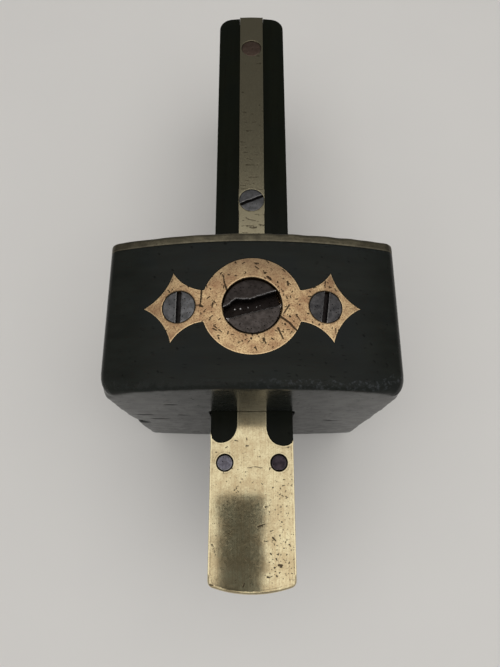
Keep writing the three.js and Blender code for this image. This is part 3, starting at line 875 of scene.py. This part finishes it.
# Marks on the escutcheon, from the clamp screw's axis.
RING_STROKES = [
    (5.7, -2.4, 7.3, -3.6, 0.22, 0.16), (7.3, -3.6, 8.9, -5.4, 0.2, 0.16),
    (5.0, -4.7, 6.0, -6.9, 0.2, 0.14), (2.1, -6.9, 2.7, -7.9, 0.18, 0.12),
    (-0.2, -6.85, -0.1, -6.95, 0.24, 0.12), (-5.0, 3.2, -5.5, 4.6, 0.22, 0.14),
    (-5.5, 4.6, -5.8, 6.4, 0.15, 0.1), (3.1, 6.1, 3.8, 5.5, 0.22, 0.12), (7.1, 5.1, 7.2, 4.3, 0.2, 0.12),
    (7.3, 0.1, 6.2, -1.7, 0.17, 0.1), (7.4, -2.25, 7.5, -2.3, 0.24, 0.1), (6.4, -3.9, 6.5, -4.0, 0.22, 0.1),
    (-10.1, 3.4, -10.3, 0.2, 0.17, 0.14), (-10.3, 0.2, -9.8, -0.1, 0.2, 0.14),
    (-12.0, 0.2, -10.5, 0.2, 0.12, 0.08), (-7.8, 0.5, -7.9, -0.4, 0.16, 0.08),
    (8.6, -1.9, 9.6, -3.2, 0.12, 0.08), (0.6, -8.6, 0.9, -9.4, 0.15, 0.08),
    (-7.6, -4.8, -6.8, -5.2, 0.14, 0.08), (-6.5, -5.0, -5.8, -5.6, 0.12, 0.08),
    (9.3, -4.2, 9.6, -5.0, 0.2, 0.1),
]
WING_SCREW_X = 14.66


def stroke(x, y, length, angle, width, depth):
    return x, y, x + length * math.cos(angle), y + length * math.sin(angle), width, depth


def build_escutcheon():
    rng = np.random.default_rng(41)
    strokes = list(RING_STROKES)
    for _ in range(330):
        x, y = rng.uniform(-20, 20), rng.uniform(-9.5, 9.5)
        length, angle = rng.uniform(0.05, 0.7), rng.uniform(0, PI)
        strokes.append(stroke(x, y, length, angle, rng.uniform(0.08, 0.14), 0.03))

    def shape(p):
        return -dome_drop(p[:, 0]) + 0.012 * lumps(p, 5, 9) - 0.012 - 0.6 * grooves(p, strokes)[0]

    def dirt_and_shade(p):
        away = np.hypot(np.abs(p[:, 0]) - WING_SCREW_X, p[:, 1])
        return np.maximum(grooves(p, strokes)[1] * 0.95, np.clip(1 - (away - 3.4) / 0.3, 0, 0.6))

    bore = circle(0, 0, clamp_high.x + 0.2, 120)
    bore = bore * (1 + 0.004 * wave(120, 3, 3, 12))[:, None]
    screw_holes = [circle(x, 0, 3.38, 60)[::-1] for x in (-WING_SCREW_X, WING_SCREW_X)]
    top = ring_high.z - INSIDE - 0.005
    part = slab([escutcheon_plan(), bore[::-1], *screw_holes], PLATE_FOOT, top, [0.07, 0.25, 0.05, 0.05],
                cell=0.17, shape=shape, dirt_and_shade=dirt_and_shade, seed=5, steps=4)
    ring = mesh_object("escutcheon", placed(part, at(0, clamp_y, 0)))
    boss = mesh_object("boss", placed(rod(BOSS, 58, PLATE_FOOT + 0.2, 64), at(0, clamp_y, 0)))
    carve(boss, placed(rod(clamp_high.x + 0.15, 50, ABOVE, 64), at(0, clamp_y, 0)))
    with bpy.context.temp_override(active_object=ring, selected_editable_objects=[ring, boss]):
        bpy.ops.object.join()
    show(ring, ring_brass, "stock", "clamp_escutcheon")
    for side, hand, turn, finish in ((-1, "left", 90, screw_steel), (1, "right", 82, dull_screw_steel)):
        lean = side * math.asin(WING_SCREW_X / DOME_RADIUS)
        top_z = top - float(dome_drop(WING_SCREW_X)) - 0.01
        place = at(side * WING_SCREW_X, clamp_y, top_z) @ Matrix.Rotation(lean, 4, "Y")
        screw = mesh_object("wing_screw_" + hand, head(20 + side, turn, place, ragged=0.03, cell=0.2))
        show(screw, finish, "stock", "escutcheon_screw_" + hand)


# Grains of swarf in the clamp screw's slot, (x, y, size) from its axis.
CLAMP_GRAINS = [(-3.5, 0.0, 0.27), (-2.35, 0.15, 0.29), (-0.8, 0.4, 0.2), (0.9, 0.5, 0.13), (1.6, 0.8, 0.12)]


def build_clamp():
    radius = clamp_high.x
    top = clamp_high.z
    foot = clamp_low.z - top
    deep = 2.2
    spigot = foot + 1.6
    below = [(0, foot), (2.5, foot), (2.5, spigot), (radius - 0.5, spigot), (radius, spigot + 0.5),
             (radius, -deep - 0.3)]
    made = slotted(radius, 2.4, deep, below, 0.3, 60, ragged=0.07, nick=0.8, widen=0.6, far_dirt=0.55)
    turn = Matrix.Rotation(math.radians(15), 4, "Z")
    grains = []
    for x, y, size in CLAMP_GRAINS:
        profile = [(0, -0.2), (size, -0.2), (0.9 * size, 0.4 * size), (0.5 * size, 0.8 * size), (0, size)]
        verts, faces, rim, dirt_and_shade = lathe(profile, 14)
        grains.append(placed((verts, faces, 0 * rim, dirt_and_shade), turn.inverted() @ at(x, y, -deep)))
    clamp = mesh_object("clamp", placed(joined([made, *grains]), at(0, clamp_y, top) @ turn))
    show(clamp, clamp_steel, "clamp", "clamp_screw")


# ---- Stem ----
def dovetail(mouth, foot):
    """The section of the way under the stem, its mouth at y = foot."""
    base, lip, deep = mouth + 0.9, 1, mouth + 1.5
    return np.array([[-mouth, lip], [-base, deep], [base, deep], [mouth, lip], [mouth, foot], [-mouth, foot]],
                    float) * [1, -1]


def pin_places():
    """Each tail pin's hand, middle and foot."""
    places = []
    for hand in ("left", "right"):
        low, high = box("tail_pin_" + hand)
        places.append((hand, (low.x + high.x) / 2, (low.y + high.y) / 2, low.z))
    return places


def build_stem():
    height = bar_high.z - bar_low.z
    part = slab([stem_plan(0.6)], 0, height, 0.3, 0.55, cell=2.0, walls=10, seed=6)
    bar = mesh_object("stem", placed(part, at(0, 0, bar_low.z)))
    carve(bar, slab([strap_plan(GAP, 1.0, 1.2)], strap_low.z - GAP, bar_top + 1, 0.0, cell=6.0))
    length = bar_high.y - bar_low.y + 4
    way = slab([dovetail(3.7, -1)], -length, 0, 0.0, cell=20)
    carve(bar, placed(way, at(0, bar_high.y + 2, bar_low.z) @ FAR))
    holes = [
        placed(lathe([(0, -14), (1.8, -14), (3.38, -4), (3.38, 2), (0, 2)]), at(0, strap_screw_y, bar_top)),
        placed(lathe([(0, -30), (1.25, -30), (1.25, -4), (2.95, -3), (2.95, 2), (0, 2)]),
               at(0, fixed_y, bar_top)),
    ]
    for _, x, y, foot in pin_places():
        holes.append(placed(rod(1.85, foot - 0.1, bar_top + 2, 48), at(x, y, 0)))
    carve(bar, joined(holes))
    show(bar, stem_ebony, "stem", "stem_bar", 40)


# Marks on the strap's tail and on its narrow strip, with y counted from STROKE_ZERO.
STROKE_ZERO = clamp_y - 36.95
STRAP_STROKES = [
    (-0.9, 7.45, 0.8, 7.7, 0.12, 0.05), (0.8, 7.7, 2.7, 7.35, 0.12, 0.05),
    (-3.9, 13.6, -3.2, 13.4, 0.16, 0.08), (-1.4, 12.3, -0.7, 12.4, 0.2, 0.08),
    (-1.2, 14.0, -1.1, 13.6, 0.16, 0.06), (-6.0, 11.8, -5.6, 12.2, 0.14, 0.06),
    (-8.2, 10.9, -7.9, 10.9, 0.18, 0.08), (-1.4, 6.6, -1.4, 6.5, 0.17, 0.1),
    (-2.2, 5.0, -2.2, 4.9, 0.17, 0.1), (-3.9, 2.5, -3.1, 3.6, 0.12, 0.08),
    (-3.1, 2.4, -2.9, 2.1, 0.12, 0.08), (-3.4, 3.2, -3.5, 2.8, 0.12, 0.08),
    (2.9, -0.9, 3.6, -0.8, 0.17, 0.1), (3.6, -0.8, 3.9, -0.6, 0.12, 0.06),
    (1.3, -5.0, 2.7, -4.5, 0.24, 0.05), (4.5, -7.2, 5.2, -7.9, 0.22, 0.12),
    (2.6, -7.9, 3.3, -8.0, 0.16, 0.08), (3.9, -10.4, 4.3, -10.7, 0.18, 0.08),
    (5.7, -12.7, 6.5, -12.7, 0.28, 0.16), (5.2, -11.4, 5.3, -11.7, 0.22, 0.1),
    (8.0, -8.7, 8.3, -8.9, 0.18, 0.1), (5.2, -14.8, 5.4, -15.0, 0.2, 0.1),
    (3.2, -15.0, 3.7, -15.1, 0.2, 0.1), (-1.9, -16.9, -1.6, -16.2, 0.2, 0.1),
    (7.0, 4.9, 7.6, 4.9, 0.14, 0.06), (6.8, 3.6, 7.4, 3.7, 0.14, 0.06), (7.5, 1.3, 8.0, 1.1, 0.16, 0.06),
    (6.3, 3.0, 6.4, 2.9, 0.16, 0.08), (6.9, 1.6, 6.9, 0.4, 0.1, 0.05), (-8.9, -16.5, -8.2, -16.6, 0.2, 0.1),
    (-8.6, -8.6, -8.4, -9.0, 0.18, 0.08), (6.5, -4.0, 6.7, -4.1, 0.18, 0.08),
    (8.2, 12.0, 8.5, 12.0, 0.18, 0.08),
]
STRIP_STROKES = [
    (-1.6, 88.0, 1.8, 88.0, 0.25, 0.08), (-0.8, 84.0, 1.9, 84.1, 0.2, 0.06),
    (-2.4, 80.4, -0.8, 80.3, 0.2, 0.05), (-1.9, 76.2, 0.2, 76.5, 0.22, 0.07),
    (-1.2, 71.2, 1.9, 70.4, 0.2, 0.06), (2.0, 69.6, 3.3, 69.2, 0.25, 0.08),
    (-2.8, 60.2, 2.2, 60.0, 0.22, 0.08), (-1.8, 57.6, 2.7, 57.4, 0.25, 0.08),
    (-2.4, 55.2, 1.6, 55.4, 0.2, 0.06), (-3.0, 95.5, -1.6, 95.3, 0.2, 0.05),
    (-1.1, 99.0, -0.9, 99.1, 0.3, 0.06), (-2.2, 92.0, -0.6, 92.1, 0.18, 0.05),
]


def build_strap():
    rng = np.random.default_rng(77)
    listed = STRAP_STROKES + STRIP_STROKES
    strokes = [(x0, STROKE_ZERO + y0, x1, STROKE_ZERO + y1, w, d) for x0, y0, x1, y1, w, d in listed]
    for _ in range(230):
        right = rng.uniform() < 0.62
        x = rng.uniform(3.5, 9) if right else rng.uniform(-9, 3.5)
        y = STROKE_ZERO + (rng.triangular(-18, -12, 10) if right else rng.uniform(-18, 12))
        length, angle = rng.uniform(0.02, 0.4), rng.normal(0.1, 0.9)
        strokes.append(stroke(x, y, length, angle, rng.uniform(0.08, 0.13), 0.0))
    for _ in range(90):
        x, y = rng.uniform(-3.3, 2.4), STROKE_ZERO + rng.triangular(24, 70, 140)
        length, angle = rng.uniform(0.2, 2.6), rng.normal(0, 0.12)
        strokes.append(stroke(x, y, length, angle, rng.uniform(0.1, 0.2), 0.0))
    pins = pin_places()
    strip_y = STROKE_ZERO + 20

    def shape(p):
        tail = np.clip((bar_low.y + 2.2 - p[:, 1]) / 2.2, 0, 1)
        sunk = grooves(p, strokes)[0] * np.where(p[:, 1] > strip_y, 0.05, 0.07)
        return 0.006 * lumps(p, 9, 10) - 0.006 - sunk - 0.28 * tail**2

    def dirt_and_shade(p):
        marked = grooves(p, strokes)[1] * np.where(p[:, 1] > strip_y, 0.72, 0.95)
        for _, x, y, _ in pins:
            away = np.hypot(p[:, 0] - x, p[:, 1] - y)
            marked = np.maximum(marked, np.clip(1 - (away - 1.95) / 0.2, 0, 0.9))
        return marked

    plan = strap_plan()
    by_screw = np.clip(np.abs(plan[:, 1] - strap_screw_y) - 3, 0, 9)
    wear = np.where(plan[:, 1] < bar_low.y + 4, 0.5, np.minimum(0.16, 0.02 + 0.3 * by_screw))
    pin_holes = [circle(x, y, 1.93, 44)[::-1] for _, x, y, _ in pins]
    screw_hole, point_hole = circle(0, strap_screw_y, 3.36, 56)[::-1], circle(0, fixed_y, 2.93, 50)[::-1]
    wide = FINGER_Y + 5
    part = slab([plan, *pin_holes, screw_hole, point_hole], strap_low.z, strap_high.z,
                [wear, 0.06, 0.06, 0.02, 0.05], cell=[(-99, wide, 0.2), (wide, 42, 0.26), (42, 99, 0.5)],
                shape=shape, dirt_and_shade=dirt_and_shade, seed=7)
    show(mesh_object("strap", part), strap_brass, "stem", "wear_strap")
    for hand, x, y, foot in pins:
        outline = circle(0, 0, 1.76, 44) * (1 + 0.012 * wave(44, 5 if hand == "left" else 9, 2, 7))[:, None]
        if hand == "right":
            outline[:, 1] = np.maximum(outline[:, 1], -1.66)
        pin = slab([outline], foot, bar_top + 0.02, 0.16, cell=0.3,
                   shape=lambda p: -0.02 * (p**2).sum(1) + 0.01 * lumps(p, 1.5, 3), seed=8, steps=3)
        finish = pin_steel if hand == "left" else dark_pin_steel
        pin = mesh_object("pin_" + hand, placed(pin, at(x, y, 0)))
        show(pin, finish, "stem", "tail_pin_" + hand)
    place = at(0, strap_screw_y, bar_top - 0.03)
    screw = head(33, 24, place, 3.3, 0.75, 0.85, 13, ragged=0.06, nick=0.12)
    show(mesh_object("middle_screw", screw), screw_steel, "stem", "strap_screw")


def point_profile(low, radius, upper):
    """A marking point's profile: a cone, worn at its tip, under the upper part of its pin."""
    cone = 3.4
    return [(0, low), (0.08, low + 0.04), (0.16, low + 0.16), (radius * 0.55, low + cone * 0.5),
            (radius, low + cone), *upper, (0, upper[-1][1])]


def build_points():
    radius = 1.2
    top = bar_top - 0.06
    upper = [(radius, top - 3.2), (2.86, top - 1.6), (2.86, top - 0.2)]
    body = lathe(point_profile(fixed_low.z, radius, upper), 40)
    outline = circle(0, 0, 2.87, 56) * (1 + 0.006 * wave(56, 4, 2, 8))[:, None]
    cap = slab([outline], top - 1, top, 0.14, cell=0.3,
               shape=lambda p: -0.012 * (p**2).sum(1) + 0.02 * lumps(p, 2.4, 5), seed=9, steps=3)
    fixed = mesh_object("fixed_pin", placed(joined([body, cap]), at(0, fixed_y, 0)))
    show(fixed, point_steel, "stem", "fixed_point")
    body = lathe(point_profile(moving_low.z, radius, [(radius, moving_high.z)]), 40)
    moving = mesh_object("sliding_pin", placed(body, at(0, moving_y, 0)))
    show(moving, point_steel, "slide", "moving_point")


def build_slide():
    """The dovetailed slide with its fingernail nick, and the keeper that closes its way."""
    outline = evened(dovetail(3.58, 0), 1.2)
    pin_hole = 1.26
    bar = slab([outline], slide_low.y - slide_high.y, 0, 0.15, 0.35, cell=1.0, walls=120, seed=10, steps=3)
    slide = mesh_object("slide_bar", placed(bar, at(0, slide_high.y, slide_low.z) @ FAR))
    across = Matrix.Rotation(PI / 2, 4, "Y")
    carve(slide, placed(rod(4, -8, 8, 96), at(0, bar_low.y + 9, slide_low.z - 3) @ across))
    carve(slide, placed(rod(pin_hole, -2, 4.4, 40), at(0, moving_y, slide_low.z)))
    show(slide, slide_brass, "slide", "mortise_slide")
    far_y = bar_high.y - 0.3
    key = slab([outline], keeper_low.y - far_y, 0, 0.15, 0.1, cell=0.8, walls=8, seed=11, steps=3)
    keeper = mesh_object("keeper", placed(key, at(0, far_y, keeper_low.z) @ FAR))
    carve(keeper, placed(rod(pin_hole, -2, 8, 40), at(0, fixed_y, keeper_low.z)))
    show(keeper, slide_brass, "stem", "point_keeper")


def finish_shoe():
    """The pressure shoe keeps its CAD shape."""
    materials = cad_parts["pressure_shoe"].data.materials
    materials.clear()
    materials.append(slide_brass)


# ---- Stage, light and camera ----
def floor_material():
    material = bpy.data.materials.new("floor")
    material.use_nodes = True
    t = material.node_tree
    t.nodes.clear()
    place = node(t, "ShaderNodeTexCoord").outputs["Object"]
    grain = node(t, "ShaderNodeTexNoise", {"Vector": place, "Scale": 45.0, "Detail": 3.0}).outputs["Fac"]
    color = mix(t, grain, (0.735, 0.715, 0.69), (0.755, 0.735, 0.705))
    looks = {"Base Color": color, "Roughness": 0.7, "Specular IOR Level": 0.2}
    paint = node(t, "ShaderNodeBsdfPrincipled", looks)
    clear = node(t, "ShaderNodeBsdfTransparent")
    behind = node(t, "ShaderNodeNewGeometry").outputs["Backfacing"]
    both = node(t, "ShaderNodeMixShader", {0: behind, 1: paint.outputs[0], 2: clear.outputs[0]})
    out = node(t, "ShaderNodeOutputMaterial")
    t.links.new(both.outputs[0], out.inputs[0])
    return material


def plain_material(name, color, rough):
    material = bpy.data.materials.new(name)
    material.use_nodes = True
    shader = material.node_tree.nodes["Principled BSDF"]
    shader.inputs["Base Color"].default_value = (*color, 1)
    shader.inputs["Roughness"].default_value = rough
    return material


def card(name, x0, x1, y0, y1, z, material):
    mesh = bpy.data.meshes.new(name)
    corners = [(x0, y0, z), (x1, y0, z), (x1, y1, z), (x0, y1, z)]
    mesh.from_pydata([tuple(c * MM for c in p) for p in corners], [], [(0, 1, 2, 3)])
    mesh.materials.append(material)
    made = bpy.data.objects.new(name, mesh)
    bpy.context.scene.collection.objects.link(made)
    return made


CAMERA = (-0.43, -61.3, 165.0)
CAMERA_TILT = 18.1  # degrees up from straight down


def build_stage():
    """The floor, and the dark card that the strap's tail reflects."""
    card("floor", -1500, 1500, -1500, 1500, stock_low.z - 0.05, floor_material())
    dark_card = card("dark_card", -15.3, 5.9, -150, CAMERA[1] + 3.2, CAMERA[2] + 2,
                     plain_material("dark_card", (0.3, 0.33, 0.34), 0.6))
    dark_card.visible_camera = False


def light_room():
    """A softbox overhead in a room that is darker ahead and below."""
    lamp = bpy.data.lights.new("softbox", "AREA")
    lamp.shape = "RECTANGLE"
    lamp.size, lamp.size_y = 0.9, 0.85
    lamp.energy = 2.3
    lamp.color = (1.0, 0.985, 0.955)
    softbox = bpy.data.objects.new("softbox", lamp)
    softbox.location = (0.05, -0.1, 0.56)
    bpy.context.scene.collection.objects.link(softbox)
    world = bpy.data.worlds.new("room")
    bpy.context.scene.world = world
    world.use_nodes = True
    w = world.node_tree
    direction = node(w, "ShaderNodeTexCoord").outputs["Generated"]
    parts = node(w, "ShaderNodeSeparateXYZ", {"Vector": direction})
    ahead = ramp(w, parts.outputs["Y"], -0.2, 0.45, 1.0, 0.3)
    high = ramp(w, parts.outputs["Z"], -0.1, 0.9, 0.75, 1.1)
    background = w.nodes["Background"]
    w.links.new(maths(w, "MULTIPLY", ahead, high), background.inputs["Strength"])
    background.inputs["Color"].default_value = (0.56, 0.565, 0.57, 1)


def place_camera():
    data = bpy.data.cameras.new("camera")
    data.lens = 27.93
    data.sensor_fit = "AUTO"
    data.sensor_width = 36
    data.clip_start = 0.005
    camera = bpy.data.objects.new("camera", data)
    camera.location = [c * MM for c in CAMERA]
    camera.rotation_euler = (math.radians(CAMERA_TILT), 0, 0)
    bpy.context.scene.collection.objects.link(camera)
    bpy.context.scene.camera = camera
    bpy.context.scene.view_settings.view_transform = "Standard"


build_stock()
build_plate()
build_escutcheon()
build_clamp()
build_stem()
build_strap()
build_points()
build_slide()
finish_shoe()
build_stage()
light_room()
place_camera()
